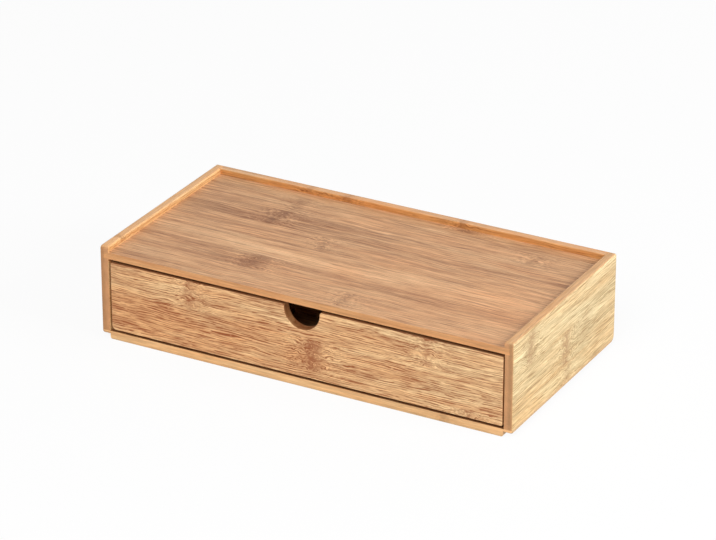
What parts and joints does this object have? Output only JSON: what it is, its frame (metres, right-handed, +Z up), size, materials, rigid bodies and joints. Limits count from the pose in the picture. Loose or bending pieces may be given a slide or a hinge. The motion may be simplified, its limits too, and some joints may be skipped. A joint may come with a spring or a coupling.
{
  "type": "tea bag drawer box",
  "caption": "Low bamboo tabletop box with a flush drawer, finger notch, divided compartments for tea bags and a shallow tray top open at the front.",
  "frame": {"origin": "middle of the footprint, on the surface that the box stands on", "axes": "+X to the right of someone facing the drawer, +Y from the drawer front to the back, +Z up"},
  "size_m": [0.33, 0.165, 0.0726],
  "materials": {
    "side_bamboo": "laminated bamboo, clear satin lacquer, grain front to back",
    "back_bamboo": "laminated bamboo, clear satin lacquer, grain left to right",
    "tray_bamboo": "laminated bamboo, clear satin lacquer, grain left to right",
    "base_bamboo": "laminated bamboo, clear satin lacquer, grain left to right",
    "front_bamboo": "laminated bamboo, clear satin lacquer, grain left to right",
    "wall_bamboo": "laminated bamboo, thin clear lacquer",
    "panel_bamboo": "bamboo ply, sanded",
    "divider_bamboo": "bamboo strip, sanded",
    "brad_steel": "bright wire"
  },
  "bodies": {
    "case": {"left_side_panel": "side_bamboo", "right_side_panel": "side_bamboo", "back_panel": "back_bamboo", "top_board": "tray_bamboo", "base_board": "base_bamboo"},
    "drawer": {"drawer_front": "front_bamboo", "drawer_left_side": "wall_bamboo", "drawer_right_side": "wall_bamboo", "drawer_back": "wall_bamboo", "drawer_bottom": "panel_bamboo", "long_divider": "divider_bamboo", "left_cross_divider": "divider_bamboo", "right_cross_divider": "divider_bamboo", "drawer_back_brads": "brad_steel"}
  },
  "joints": [
    {"name": "drawer_slide", "type": "slide", "parent": "case", "child": "drawer", "axis": [0, -1, 0], "range_m": [0, 0.13]}
  ]
}
